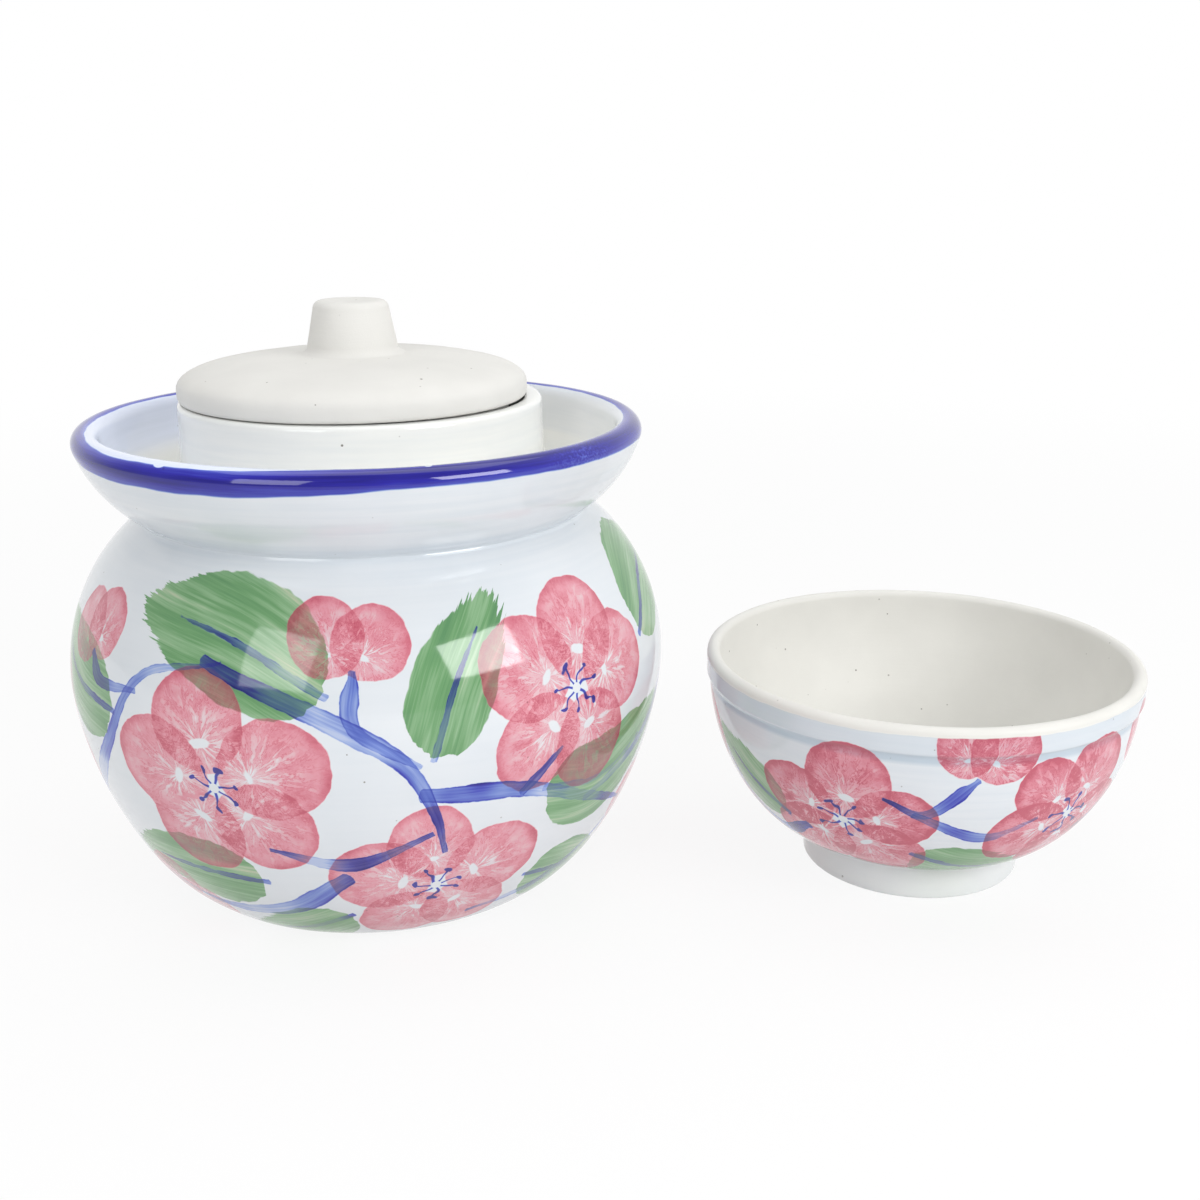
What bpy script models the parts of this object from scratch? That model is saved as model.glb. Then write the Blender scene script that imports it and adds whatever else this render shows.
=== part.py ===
"""Water-sealed kimchi crock: a turned jar with a moat, its inner lid and its cover bowl.

The bowl stands upright beside the jar. In use it is turned over the lid, and its lip
stands in the moat, where water keeps the air out.
"""

import math

import bpy

# Jar body, in metres
BELLY_RADIUS = 0.0950
BELLY_HEIGHT = 0.0741
BELLY_WALL = 0.0050
FOOT_RADIUS = 0.0580
FOOT_BEVEL = 0.0014
FOOT_RING_WIDTH = 0.0075
FOOT_RECESS = 0.0025
BASE_THICKNESS = 0.0055
BELLY_FULLNESS = 1.62

# Collar and moat
MOAT_FLOOR_HEIGHT = 0.1310
COLLAR_RADIUS = 0.0563
COLLAR_TAPER = 0.0010
COLLAR_HEIGHT = 0.0260
COLLAR_WALL = 0.0058
COLLAR_EDGE = 0.0015
COLLAR_FILLET = 0.0030
MOUTH_FILLET = 0.0025
SHELF_THICKNESS = 0.0078
WAIST_INSET = 0.0016
WAIST_SOFTENING = 0.0015
RIM_REACH = 0.0162
RIM_RISE = 0.0158
LIP_RADIUS = 0.0043
FLARE_CURVE = 0.0400
MOAT_CURVE = 0.0330

# Inner lid
LID_INSET = 0.0023
LID_EDGE_RISE = 0.0034
LID_EDGE_ROUND = 0.0017
LID_DOME_RISE = 0.0100
LID_FULLNESS = 2.5
PLUG_CLEARANCE = 0.0025
PLUG_DEPTH = 0.0060
PLUG_WALL = 0.0050
PLUG_EDGE = 0.0010
LID_PLATE = 0.0098
KNOB_TOP_RADIUS = 0.0118
KNOB_SPREAD = 0.0021
KNOB_HEIGHT = 0.0159
KNOB_EDGE = 0.0026
KNOB_FILLET = 0.0028

# Cover bowl
COVER_GAP = 0.0089
SEAT_CLEARANCE = 0.0009
KNOB_HEADROOM = 0.0041
BOWL_LIP = 0.0046
BOWL_BAND = 0.0085
BOWL_BAND_STEP = 0.0011
BOWL_FULLNESS = 1.78
BOWL_FOOT_RADIUS = 0.0359
BOWL_FOOT_HEIGHT = 0.0120
BOWL_FOOT_EDGE = 0.0010
BOWL_FOOT_RING = 0.0056
BOWL_FOOT_RECESS = 0.0065
BOWL_BASE = 0.0065
BOWL_WELL_INSET = 0.0090

# Bowl standing beside the jar, and the air between pieces that touch
STANDING_GAP = 0.0152
TOUCH_GAP = 0.0003

# Facets around each turned piece
JAR_STEPS = 48
LID_STEPS = 40
BOWL_STEPS = 48
MERGE_DISTANCE = 0.00001

# Clear glaze over white clay, and the same clay left bare
GLAZE_COLOUR = (0.72, 0.78, 0.82)
GLAZE_ROUGHNESS = 0.12
GLAZE_COAT = 0.6
BISQUE_COLOUR = (0.80, 0.80, 0.76)
BISQUE_ROUGHNESS = 0.75

# Radii and heights that follow from the sizes above
mouth_radius = COLLAR_RADIUS - COLLAR_WALL
collar_foot_radius = COLLAR_RADIUS + COLLAR_TAPER
collar_top = MOAT_FLOOR_HEIGHT + COLLAR_HEIGHT
bowl_mouth_radius = collar_foot_radius + COVER_GAP
bowl_radius = bowl_mouth_radius + BOWL_LIP
moat_radius = bowl_radius + SEAT_CLEARANCE
waist = (moat_radius - WAIST_INSET, MOAT_FLOOR_HEIGHT - SHELF_THICKNESS)
rim_radius = moat_radius + RIM_REACH
lip_centre = (rim_radius - LIP_RADIUS, MOAT_FLOOR_HEIGHT + RIM_RISE)

lid_seat = collar_top + TOUCH_GAP
lid_edge_height = lid_seat + LID_EDGE_RISE
lid_radius = COLLAR_RADIUS - LID_INSET
lid_top = lid_edge_height + LID_DOME_RISE
knob_top = lid_top + KNOB_HEIGHT
knob_base_radius = KNOB_TOP_RADIUS + KNOB_SPREAD
plug_radius = mouth_radius - PLUG_CLEARANCE
lid_shift = PLUG_CLEARANCE - TOUCH_GAP

bowl_floor = BOWL_FOOT_RECESS + BOWL_BASE
bowl_height = bowl_floor + knob_top + KNOB_HEADROOM - MOAT_FLOOR_HEIGHT

jar_reach = max(BELLY_RADIUS, rim_radius)
half_length = jar_reach + STANDING_GAP / 2 + bowl_radius
jar_axis = jar_reach - half_length
bowl_axis = half_length - bowl_radius


def arc(centre, radius, start, end, points):
    """Points on a circle in the (radius, height) plane, from one angle to another."""
    outline = []
    for index in range(points):
        angle = start + (end - start) * index / (points - 1)
        outline.append((centre[0] + radius * math.cos(angle), centre[1] + radius * math.sin(angle)))
    return outline


def swelling(low, wide, fullness, points):
    """A wall that leaves the low point flat and is upright at the wide point."""
    outline = []
    for index in range(points):
        angle = math.pi / 2 * index / (points - 1)
        out = math.sin(angle) ** (2 / fullness)
        down = math.cos(angle) ** (2 / fullness)
        outline.append((low[0] + (wide[0] - low[0]) * out, wide[1] - (wide[1] - low[1]) * down))
    return outline


def direction(start, end):
    """Angle of the line from one (radius, height) point to another."""
    return math.atan2(end[1] - start[1], end[0] - start[0])


def upper_meeting(first, first_radius, second, second_radius):
    """The upper, inner point where two circles in the (radius, height) plane meet."""
    distance = math.dist(first, second)
    along = (distance**2 + first_radius**2 - second_radius**2) / (2 * distance)
    across = math.sqrt(first_radius**2 - along**2)
    step_r = (second[0] - first[0]) / distance
    step_z = (second[1] - first[1]) / distance
    return (first[0] + along * step_r - across * step_z, first[1] + along * step_z + across * step_r)


def shoulder_circle():
    """Centre and radius of the shoulder, upright at the belly and ending at the waist."""
    rise = waist[1] - BELLY_HEIGHT
    centre_radius = (BELLY_RADIUS**2 - waist[0] ** 2 - rise**2) / (2 * (BELLY_RADIUS - waist[0]))
    return (centre_radius, BELLY_HEIGHT), BELLY_RADIUS - centre_radius


def jar_inside():
    """From the middle of the floor, up the belly and the throat to the collar's top."""
    centre, radius = shoulder_circle()
    inner_radius = radius - BELLY_WALL
    floor = FOOT_RECESS + BASE_THICKNESS
    shoulder_end = math.acos((mouth_radius + MOUTH_FILLET - centre[0]) / inner_radius)
    throat = centre[1] + inner_radius * math.sin(shoulder_end) + MOUTH_FILLET
    edge_centre = (mouth_radius + COLLAR_EDGE, collar_top - COLLAR_EDGE)

    outline = [(0, floor)]
    low = (FOOT_RADIUS - BELLY_WALL, floor)
    outline += swelling(low, (BELLY_RADIUS - BELLY_WALL, BELLY_HEIGHT), BELLY_FULLNESS, points=8)
    outline += arc(centre, inner_radius, 0, shoulder_end, points=8)[1:]
    outline.append((mouth_radius, throat))
    outline += arc(edge_centre, COLLAR_EDGE, math.pi, math.pi / 2, points=3)
    return outline


def moat():
    """Down the outside of the collar, across the moat's floor and up to the rolled lip."""
    edge_centre = (COLLAR_RADIUS - COLLAR_EDGE, collar_top - COLLAR_EDGE)
    fillet_centre = (collar_foot_radius + COLLAR_FILLET, MOAT_FLOOR_HEIGHT + COLLAR_FILLET)
    floor_end = (moat_radius, MOAT_FLOOR_HEIGHT)
    wall_centre = upper_meeting(floor_end, MOAT_CURVE, lip_centre, MOAT_CURVE + LIP_RADIUS)

    outline = arc(edge_centre, COLLAR_EDGE, math.pi / 2, 0, points=3)
    outline += arc(fillet_centre, COLLAR_FILLET, math.pi, 1.5 * math.pi, points=4)
    wall_start = direction(wall_centre, floor_end)
    outline += arc(wall_centre, MOAT_CURVE, wall_start, direction(wall_centre, lip_centre), points=6)
    return outline, direction(lip_centre, wall_centre)


def jar_outside(lip_start):
    """Over the lip, down the flare to the waist, then round the belly to the foot."""
    flare_centre = upper_meeting(waist, FLARE_CURVE, lip_centre, FLARE_CURVE - LIP_RADIUS)
    lip_end = direction(flare_centre, lip_centre)
    flare_end = direction(flare_centre, waist) + WAIST_SOFTENING / FLARE_CURVE
    centre, radius = shoulder_circle()
    shoulder_start = direction(centre, waist) - WAIST_SOFTENING / radius
    ring_radius = FOOT_RADIUS - FOOT_BEVEL

    outline = arc(lip_centre, LIP_RADIUS, lip_start, lip_end, points=9)[1:]
    outline += arc(flare_centre, FLARE_CURVE, lip_end, flare_end, points=7)[1:]
    outline += arc(centre, radius, shoulder_start, 0, points=9)
    low = (FOOT_RADIUS, FOOT_BEVEL)
    outline += swelling(low, (BELLY_RADIUS, BELLY_HEIGHT), BELLY_FULLNESS, points=10)[-2::-1]
    outline.append((ring_radius, 0))
    outline.append((ring_radius - FOOT_RING_WIDTH, 0))
    outline.append((ring_radius - FOOT_RING_WIDTH - FOOT_BEVEL, FOOT_RECESS))
    outline.append((0, FOOT_RECESS))
    return outline


def jar_profile():
    """Half section of the jar: one wall from the floor inside to the recess under the foot."""
    moat_outline, lip_start = moat()
    return jar_inside() + moat_outline + jar_outside(lip_start)


def lid_dome_height(radius):
    """Height of the lid's dome at a radius."""
    share = max(0, 1 - (radius / lid_radius) ** LID_FULLNESS)
    return lid_edge_height + LID_DOME_RISE * share ** (1 / LID_FULLNESS)


def lid_profile():
    """Half section of the lid: knob, dome, rounded edge, and the plug ring underneath."""
    fillet_end = knob_base_radius + KNOB_FILLET
    dome_start = lid_dome_height(fillet_end)
    knob_edge_centre = (KNOB_TOP_RADIUS - KNOB_EDGE, knob_top - KNOB_EDGE)
    fillet_centre = (fillet_end, dome_start + KNOB_FILLET)
    start_angle = math.asin((fillet_end / lid_radius) ** (LID_FULLNESS / 2))
    plug_bottom = lid_seat - PLUG_DEPTH
    ceiling = lid_top - LID_PLATE

    outline = [(0, knob_top)]
    outline += arc(knob_edge_centre, KNOB_EDGE, math.pi / 2, 0, points=4)
    outline += arc(fillet_centre, KNOB_FILLET, math.pi, 1.5 * math.pi, points=4)
    for index in range(1, 8):
        angle = start_angle + (math.pi / 2 - start_angle) * index / 7
        radius = lid_radius * math.sin(angle) ** (2 / LID_FULLNESS)
        outline.append((radius, lid_dome_height(radius)))
    outline.append((lid_radius - LID_EDGE_ROUND / 3, lid_seat + LID_EDGE_ROUND / 2))
    outline.append((lid_radius - LID_EDGE_ROUND, lid_seat))
    outline.append((plug_radius, lid_seat))
    outline.append((plug_radius, plug_bottom + PLUG_EDGE))
    outline.append((plug_radius - PLUG_EDGE, plug_bottom))
    outline.append((plug_radius - PLUG_WALL, plug_bottom))
    outline.append((plug_radius - PLUG_WALL, ceiling))
    outline.append((0, ceiling))
    return outline


def bowl_profile():
    """Half section of the bowl, upright: well, rounded lip, rim band, step, wall and foot ring."""
    lip_middle = (bowl_mouth_radius + BOWL_LIP / 2, bowl_height - BOWL_LIP / 2)
    well = (BOWL_FOOT_RADIUS - BOWL_WELL_INSET, bowl_floor)
    band_bottom = bowl_height - BOWL_BAND
    wall_top = (bowl_radius - BOWL_BAND_STEP, band_bottom - BOWL_BAND_STEP)
    ring_radius = BOWL_FOOT_RADIUS - BOWL_FOOT_EDGE
    recess_radius = ring_radius - BOWL_FOOT_RING

    outline = [(0, bowl_floor)]
    outline += swelling(well, (bowl_mouth_radius, lip_middle[1]), BOWL_FULLNESS, points=9)
    outline += arc(lip_middle, BOWL_LIP / 2, math.pi, 0, points=7)[1:]
    outline.append((bowl_radius, band_bottom))
    outline += swelling((BOWL_FOOT_RADIUS, BOWL_FOOT_HEIGHT), wall_top, BOWL_FULLNESS, points=10)[::-1]
    outline.append((BOWL_FOOT_RADIUS, BOWL_FOOT_EDGE))
    outline.append((ring_radius, 0))
    outline.append((recess_radius, 0))
    outline.append((recess_radius - BOWL_FOOT_EDGE, BOWL_FOOT_RECESS))
    outline.append((0, BOWL_FOOT_RECESS))
    return outline


def ceramic(name, colour, roughness, coat):
    """Fired clay, bare or under a clear glaze."""
    material = bpy.data.materials.new(name)
    material.use_nodes = True
    shader = material.node_tree.nodes["Principled BSDF"]
    shader.inputs["Base Color"].default_value = (*colour, 1.0)
    shader.inputs["Roughness"].default_value = roughness
    shader.inputs["Metallic"].default_value = 0.0
    shader.inputs["Coat Weight"].default_value = coat
    return material


def turned_piece(name, profile, steps, axis_x, material, collection):
    """Turn a half section about the upright line at axis_x."""
    mesh = bpy.data.meshes.new(name)
    vertices = [(radius, 0.0, height) for radius, height in profile]
    edges = [(index, index + 1) for index in range(len(profile) - 1)]
    mesh.from_pydata(vertices, edges, [])
    piece = bpy.data.objects.new(name, mesh)
    piece.location = (axis_x, 0.0, 0.0)
    collection.objects.link(piece)

    turn = piece.modifiers.new("Turn", "SCREW")
    turn.axis = "Z"
    turn.angle = 2 * math.pi
    turn.steps = steps
    turn.render_steps = steps
    turn.use_merge_vertices = True
    turn.merge_threshold = MERGE_DISTANCE
    turn.use_smooth_shade = True

    mesh.materials.append(material)
    return piece


def clear_scene():
    """Remove the objects of the start-up scene."""
    for old in list(bpy.data.objects):
        bpy.data.objects.remove(old)


def build():
    """Make the three loose pieces of the crock."""
    clear_scene()
    crock = bpy.data.collections.new("kimchi_crock")
    bpy.context.scene.collection.children.link(crock)

    jar_glaze = ceramic("jar_glaze", GLAZE_COLOUR, GLAZE_ROUGHNESS, GLAZE_COAT)
    bowl_glaze = ceramic("bowl_glaze", GLAZE_COLOUR, GLAZE_ROUGHNESS, GLAZE_COAT)
    lid_bisque = ceramic("lid_bisque", BISQUE_COLOUR, BISQUE_ROUGHNESS, 0.0)
    jar = turned_piece("jar", jar_profile(), JAR_STEPS, jar_axis, jar_glaze, crock)
    lid = turned_piece("inner_lid", lid_profile(), LID_STEPS, -lid_shift, lid_bisque, crock)
    lid.parent = jar
    turned_piece("cover_bowl", bowl_profile(), BOWL_STEPS, bowl_axis, bowl_glaze, crock)


build()
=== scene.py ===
"""Painted kimchi crock: a glazed jar with a water moat, its bare clay inner lid and its cover bowl.

Run it as a script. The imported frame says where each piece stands; one operator turns, glazes
and paints each piece, and another sets the floor, lamps and camera.
"""

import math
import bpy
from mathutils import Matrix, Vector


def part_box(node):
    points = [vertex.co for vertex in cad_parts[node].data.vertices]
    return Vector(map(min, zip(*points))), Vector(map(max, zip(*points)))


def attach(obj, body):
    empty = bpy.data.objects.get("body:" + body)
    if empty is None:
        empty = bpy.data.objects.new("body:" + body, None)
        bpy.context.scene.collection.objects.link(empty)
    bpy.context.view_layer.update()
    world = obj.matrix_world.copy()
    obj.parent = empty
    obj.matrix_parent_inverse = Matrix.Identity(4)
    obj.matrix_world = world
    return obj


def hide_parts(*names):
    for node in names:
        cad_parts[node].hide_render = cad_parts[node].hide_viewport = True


bl_info = {
    "name": "Painted kimchi crock",
    "version": (1, 0, 0),
    "blender": (4, 5, 0),
    "location": "3D View > Sidebar > Crock",
    "description": "Turns, glazes and paints a kimchi crock with its inner lid and cover bowl",
    "category": "Mesh",
}

from functools import partial

import bpy
import numpy as np
from bpy.props import FloatProperty, FloatVectorProperty, IntProperty, PointerProperty

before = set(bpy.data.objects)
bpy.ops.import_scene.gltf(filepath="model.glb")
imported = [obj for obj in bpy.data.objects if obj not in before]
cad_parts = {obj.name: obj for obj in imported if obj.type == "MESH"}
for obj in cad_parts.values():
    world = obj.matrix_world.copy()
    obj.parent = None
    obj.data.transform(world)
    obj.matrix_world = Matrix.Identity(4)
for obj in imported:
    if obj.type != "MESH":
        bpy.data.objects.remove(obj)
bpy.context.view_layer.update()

MM = 0.001
# How many points a curve of a section has before it is spaced out.
CURVE_POINTS = 160
# Turns are stored as places on a ring of this radius, in millimetres, on every piece.
RING_RADIUS = 80.0
# What a field says where no paint is near, in millimetres.
FAR = 60.0
# The numbers of a dab and of a stroke are stored in steps of these, on top of its own coordinates.
CELL = 8.0
STROKE_CELL = 400.0
# How many layers of paint of each kind can lie over one another.
DABS_DEEP = 3
LEAVES_DEEP = 2
STROKES_DEEP = 3
# Shapes in one layer keep this far apart, in millimetres, because of the grain of the mesh.
APART = 3.5
# Stamens in a blossom, and how far from its middle their field reaches, in millimetres.
STAMENS = 7
HEART_REACH = 16
# How far outside a stroke its own field reaches, in millimetres.
STROKE_REACH = 12
# How many points a path has from one stop to the next: where paint is laid, and for rough questions.
PATH_POINTS = 24
ROUGH_POINTS = 8

jar_low, jar_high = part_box("jar")
lid_low, lid_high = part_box("inner_lid")
bowl_low, bowl_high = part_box("cover_bowl")


def linear(colour):
    """An sRGB hex colour as linear red, green, blue and full alpha."""
    shares = [int(colour[place : place + 2], 16) / 255 for place in (1, 3, 5)]
    return (*[s / 12.92 if s <= 0.04045 else ((s + 0.055) / 1.055) ** 2.4 for s in shares], 1.0)


def length(name, description, default):
    """A size that the sidebar shows in the scene's unit of length."""
    return FloatProperty(name=name, description=description, default=default, min=0.0, unit="LENGTH")


def facets(default):
    """How finely a piece is turned."""
    return IntProperty(name="Steps", description="Facets in a quarter turn", default=default, min=8, max=120)


def colour(name, description, default):
    """A colour that the sidebar shows as a swatch."""
    default = linear(default)[:3]
    return FloatVectorProperty(
        name=name, description=description, default=default, subtype="COLOR", min=0.0, max=1.0
    )


class CrockJarSizes(bpy.types.PropertyGroup):
    """Sizes of the turned jar."""

    belly_radius: length("Belly radius", "From the axis to the widest place", (jar_high.x - jar_low.x) / 2)
    belly_height: length("Belly height", "Height of the widest place", 0.0741)
    wall: length("Wall", "Thickness of the belly wall", 0.0050)
    foot_radius: length("Foot radius", "Outside of the foot ring", 0.0580)
    moat_floor: length("Moat floor", "Height of the moat's floor", 0.1310)
    moat_radius: length("Moat radius", "Where the moat's floor meets its wall", 0.0717)
    collar_radius: length("Collar radius", "Outside of the collar at its top", 0.0563)
    collar_top: length("Collar top", "Height of the rim that carries the lid", jar_high.z)
    mouth_radius: length("Mouth radius", "Inside of the collar", 0.0505)
    rim_radius: length("Rim radius", "Outside of the rolled lip", 0.0879)
    rim_height: length("Rim height", "Height of the middle of the rolled lip", 0.1468)
    lip_radius: length("Lip radius", "Half the thickness of the rolled lip", 0.0043)
    steps: facets(90)


class CrockLidSizes(bpy.types.PropertyGroup):
    """Sizes of the turned inner lid."""

    radius: length("Lid radius", "Outside of the lid", (lid_high.x - lid_low.x) / 2)
    seat: length("Seat", "Height of the underside that rests on the collar", 0.1573)
    dome_height: length("Dome height", "Height of the dome's middle", 0.1707)
    knob_top: length("Knob top", "Height of the knob", lid_high.z)
    knob_radius: length("Knob radius", "Outside of the knob at its top", 0.0118)
    plug_radius: length("Plug radius", "Outside of the ring that centres the lid", 0.0480)
    steps: facets(64)


class CrockBowlSizes(bpy.types.PropertyGroup):
    """Sizes of the turned cover bowl."""

    radius: length("Bowl radius", "Outside of the rim band", (bowl_high.x - bowl_low.x) / 2)
    height: length("Bowl height", "Height of the lip", bowl_high.z)
    lip: length("Lip", "Thickness of the lip", 0.0046)
    band: length("Rim band", "Depth of the band under the lip", 0.0085)
    step: length("Step", "How far the wall steps in under the band", 0.0011)
    foot_radius: length("Foot radius", "Outside of the foot ring", 0.0359)
    foot_height: length("Foot height", "Height of the foot ring", 0.0120)
    floor: length("Floor", "Height of the well's floor", 0.0130)
    steps: facets(80)


class CrockColours(bpy.types.PropertyGroup):
    """Colours of clay and glaze."""

    glaze: colour("Glaze", "Clear glaze over white clay", "#D9DDE1")
    pooled: colour("Pooled glaze", "Glaze where it has run thick", "#B6C3CE")
    # Cream is lighter than the glaze. It is partly the thin glaze's own tint and partly painted light in the
    # shaded moat, on the collar and on the bowl's foot.
    cream_and_painted_light: colour("Cream glaze", "Thin glaze on the collar and in the moat", "#F4F3EC")
    # Painted light: a brighter, bluer colour for the moat's shaded wall.
    moat_painted_light: colour("Blushed glaze", "Glaze in the moat, tinted by the rim's cobalt", "#E7EDFD")
    bisque: colour("Bare clay", "Fired clay without glaze", "#DBDAD6")
    well: colour("Bowl's inside", "Fired clay inside the bowl", "#DDDCD7")
    speck: colour("Specks", "Iron specks in the clay", "#5E564B")


class CrockStageSizes(bpy.types.PropertyGroup):
    """Place and lens of the camera."""

    lens: FloatProperty(
        name="Lens", description="Focal length on a 36 mm sensor", default=0.04363, unit="CAMERA", min=0.01
    )
    height: length("Camera height", "Height of the camera above the floor", 0.2300)
    distance: length("Camera distance", "From the object's axis plane to the camera", 0.4551)
    pitch: FloatProperty(
        name="Pitch",
        description="How far the camera looks down",
        default=0.299,
        subtype="ANGLE",
        unit="ROTATION",
    )


def arc(centre, radius, start, end):
    """Points on a circle in the (radius, height) plane, from one angle to another."""
    angles = np.linspace(start, end, CURVE_POINTS)
    return np.column_stack((centre[0] + radius * np.cos(angles), centre[1] + radius * np.sin(angles)))


def swelling(low, wide, fullness):
    """A wall that leaves the low point flat and is upright at the wide point."""
    angles = np.linspace(0, math.pi / 2, CURVE_POINTS)
    out = np.sin(angles) ** (2 / fullness)
    down = np.clip(np.cos(angles), 0, 1) ** (2 / fullness)
    return np.column_stack((low[0] + (wide[0] - low[0]) * out, wide[1] - (wide[1] - low[1]) * down))


def direction(start, end):
    """Angle of the line from one (radius, height) point to another."""
    return math.atan2(end[1] - start[1], end[0] - start[0])


def upper_meeting(first, first_radius, second, second_radius):
    """The upper, inner point where two circles in the (radius, height) plane meet."""
    distance = math.dist(first, second)
    along = (distance**2 + first_radius**2 - second_radius**2) / (2 * distance)
    across = math.sqrt(first_radius**2 - along**2)
    step_r, step_z = (second[0] - first[0]) / distance, (second[1] - first[1]) / distance
    return (first[0] + along * step_r - across * step_z, first[1] + along * step_z + across * step_r)


def travelled(points):
    """Distance travelled along a line at each of its points."""
    return np.concatenate(([0], np.cumsum(np.linalg.norm(np.diff(points, axis=0), axis=1))))


class Outline:
    """A half section drawn from its stretches, each evenly spaced and known by name.

    Its axis stands in the middle of a box, and lengths along it count from the start of a stretch.
    """

    def __init__(self, low, high, zero):
        self.rings = np.zeros((0, 2))
        self.names = []
        self.axis_x = (low.x + high.x) / 2
        self.zero = zero

    def draw(self, name, spacing, *points):
        """Add a stretch that starts where the last one ended. Its spacing is in millimetres."""
        points = np.array(points, float)
        if len(self.rings):
            points = np.vstack((self.rings[-1], points))
        points = points[np.diff(travelled(points), prepend=-1) > 1e-7]
        way = travelled(points)
        stops = np.linspace(0, way[-1], max(1, round(way[-1] / (spacing * MM))) + 1)
        even = np.column_stack([np.interp(stops, way, side) for side in points.T])
        even = even[1:] if len(self.rings) else even
        self.rings = np.vstack((self.rings, even))
        self.names += [name] * len(even)

    def soften(self, name, spacing, corner, after):
        """Add a soft corner from where the last stretch ended."""
        share = np.linspace(0, 1, CURVE_POINTS)[:, None]
        before, corner, after = self.rings[-1], np.array(corner), np.array(after)
        curve = before * (1 - share) ** 2 + corner * 2 * share * (1 - share) + after * share**2
        self.draw(name, spacing, *curve)

    def span(self, name):
        """First and last ring of a stretch, with the ring that it starts from."""
        rings = [index for index, other in enumerate(self.names) if other == name]
        return max(rings[0] - 1, 0), rings[-1]

    def along(self):
        """Where each ring lies along the section, in millimetres from the start of the zero stretch."""
        along = travelled(self.rings) / MM
        return along - along[self.span(self.zero)[0]]

    def ends(self, name):
        """Where a stretch starts and ends along the section, in millimetres."""
        return self.along()[list(self.span(name))]


def jar_outline(jar):
    """Half section of the jar, from its floor inside to the recess under its foot."""
    edge, fillet, bevel = 1.5 * MM, 3.0 * MM, 1.4 * MM
    floor, ring_width, recess = 8.0 * MM, 7.5 * MM, 2.5 * MM
    moat_curve, flare_curve, waist_soft = 33 * MM, 40 * MM, 1.5 * MM
    taper, fullness, hidden, fine = 1.0 * MM, 1.62, 6, 1.6
    foot, mouth, collar, curl = jar.foot_radius, jar.mouth_radius, jar.collar_radius, jar.lip_radius
    wide, wide_height, top, moat = jar.belly_radius, jar.belly_height, jar.collar_top, jar.moat_floor
    waist, lip = (jar.moat_radius - 1.6 * MM, moat - 7.8 * MM), (jar.rim_radius - curl, jar.rim_height)
    rise = waist[1] - wide_height
    middle = (wide**2 - waist[0] ** 2 - rise**2) / (2 * (wide - waist[0]))
    centre, shoulder = (middle, wide_height), wide - middle
    inner = shoulder - jar.wall
    turn_in = math.acos((mouth + 2.5 * MM - middle) / inner)
    throat = wide_height + inner * math.sin(turn_in)

    outline = Outline(jar_low, jar_high, "lip")
    draw, soften = outline.draw, outline.soften
    low = (foot - jar.wall, floor)
    draw("floor", 2 * hidden, (0, floor), low)
    draw("inside", hidden, *swelling(low, (wide - jar.wall, wide_height), fullness))
    draw("inside", hidden, *arc(centre, inner, 0, turn_in))
    soften("inside", fine, (mouth, throat + 0.6 * MM), (mouth, throat + 2.5 * MM))
    draw("mouth", 4, (mouth, top - edge))
    draw("mouth", 0.5, *arc((mouth + edge, top - edge), edge, math.pi, math.pi / 2))
    draw("mouth", 1, (collar - edge, top))
    draw("collar", 0.5, *arc((collar - edge, top - edge), edge, math.pi / 2, 0))
    draw("collar", fine, (collar + taper, moat + fillet))
    draw("collar", 0.8, *arc((collar + taper + fillet, moat + fillet), fillet, math.pi, 1.5 * math.pi))
    floor_end = (jar.moat_radius, moat)
    draw("moat", fine, floor_end)
    wall_centre = upper_meeting(floor_end, moat_curve, lip, moat_curve + curl)
    start = direction(wall_centre, floor_end)
    draw("moat_wall", fine, *arc(wall_centre, moat_curve, start, direction(wall_centre, lip)))
    flare_centre = upper_meeting(waist, flare_curve, lip, flare_curve - curl)
    lip_end = direction(flare_centre, lip)
    draw("lip", 0.8, *arc(lip, curl, direction(lip, wall_centre), lip_end))
    flare_end = direction(flare_centre, waist) + waist_soft / flare_curve
    draw("flare", fine, *arc(flare_centre, flare_curve, lip_end, flare_end))
    upper = arc(centre, shoulder, direction(centre, waist) - waist_soft / shoulder, 0)
    soften("waist", 0.5, waist, upper[0])
    draw("belly", fine, *upper, *swelling((foot, bevel), (wide, wide_height), fullness)[::-1])
    soften("foot", 0.5, (foot, 0), (foot - bevel, 0))
    inside = foot - bevel - ring_width
    draw("ring", 2.5, (inside, 0))
    draw("base", fine, (inside - bevel, recess))
    draw("base", 2 * hidden, (0, recess))
    return outline


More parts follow.
